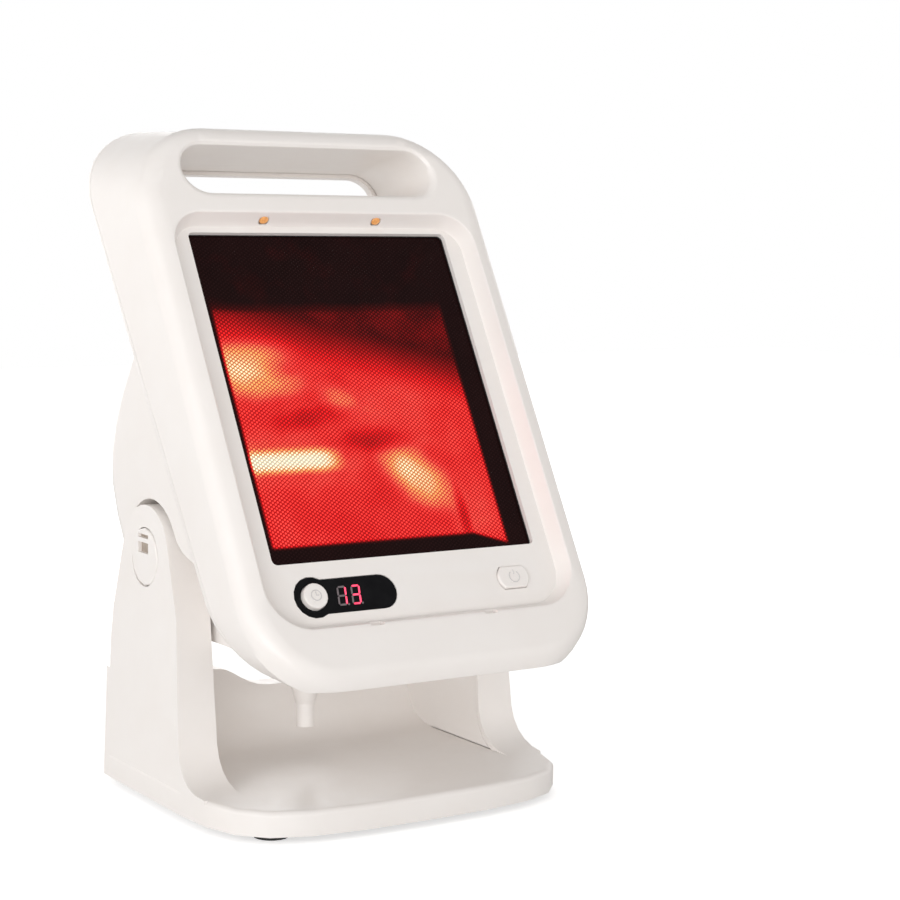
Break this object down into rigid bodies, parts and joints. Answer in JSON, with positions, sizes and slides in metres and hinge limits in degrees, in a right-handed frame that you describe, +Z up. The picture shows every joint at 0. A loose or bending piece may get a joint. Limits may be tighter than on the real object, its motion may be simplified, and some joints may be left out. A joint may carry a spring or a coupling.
{
  "type": "infrared heat therapy lamp",
  "caption": "Table-top infrared heat lamp: a tilting head with a ceramic glass window, a carrying handle and push buttons, held between the arms of a stand.",
  "frame": {"origin": "on the table, in the middle of the lamp's box across and from front to back, with the head at its rest tilt", "axes": "+Z up, -Y towards the person in front of the window, +X to the right of someone facing the window"},
  "size_m": [0.212, 0.2247, 0.3523],
  "materials": {
    "white_plastic": "warm white satin moulding",
    "rubber": "matt",
    "ceramic_glass": "dark red-black, dimpled",
    "smoked_lens": "polished",
    "steel": "zinc plated",
    "aluminium": "bright sheet",
    "quartz": "clear",
    "ceramic": "steatite",
    "fibre": "pressed fibre",
    "circuit_board": "solder resist",
    "black_plastic": "matt"
  },
  "bodies": {
    "stand": {"stand_shell": "white_plastic", "base_cover": "white_plastic", "foot_front_left": "rubber", "foot_front_right": "rubber", "foot_rear_left": "rubber", "foot_rear_right": "rubber", "base_screw_front_left": "steel", "base_screw_front_right": "steel", "base_screw_rear_left": "steel", "base_screw_rear_right": "steel", "arm_cover_left": "white_plastic", "arm_cover_right": "white_plastic", "pivot_cap_left": "white_plastic", "pivot_cap_right": "white_plastic", "pivot_bolt_left": "steel", "pivot_bolt_right": "steel", "pivot_nut_left": "steel", "pivot_nut_right": "steel", "friction_washer_left": "fibre", "friction_washer_right": "fibre"},
    "head": {"front_shell": "white_plastic", "rear_shell": "white_plastic", "glass_seal": "fibre", "ceramic_glass": "ceramic_glass", "reflector": "aluminium", "heater_tube": "quartz", "lamp_socket_left": "ceramic", "lamp_socket_right": "ceramic", "heat_shield": "aluminium", "thermal_cutout": "steel", "control_board": "circuit_board", "display_module": "black_plastic", "display_lens": "smoked_lens", "relay": "black_plastic", "timer_switch": "black_plastic", "power_switch": "black_plastic", "cord_gland": "white_plastic", "pivot_hub_left": "steel", "pivot_hub_right": "steel", "head_screw_top_left": "steel", "head_screw_top_right": "steel", "head_screw_bottom_left": "steel", "head_screw_bottom_right": "steel", "reflector_screw_top_left": "steel", "reflector_screw_top_right": "steel", "reflector_screw_bottom_left": "steel", "reflector_screw_bottom_right": "steel"},
    "timer_key": {"timer_button": "white_plastic"},
    "power_key": {"power_button": "white_plastic"}
  },
  "joints": [
    {"name": "head_tilt", "type": "hinge", "parent": "stand", "child": "head", "pos_m": [0, 0.0264, 0.13], "axis": [1, 0, 0], "range_deg": [-25, 20]},
    {"name": "timer_press", "type": "slide", "parent": "head", "child": "timer_key", "axis": [0, 0.866, -0.5], "range_m": [0, 0.001], "stiffness_N_per_m": 2500},
    {"name": "power_press", "type": "slide", "parent": "head", "child": "power_key", "axis": [0, 0.866, -0.5], "range_m": [0, 0.001], "stiffness_N_per_m": 2500}
  ]
}
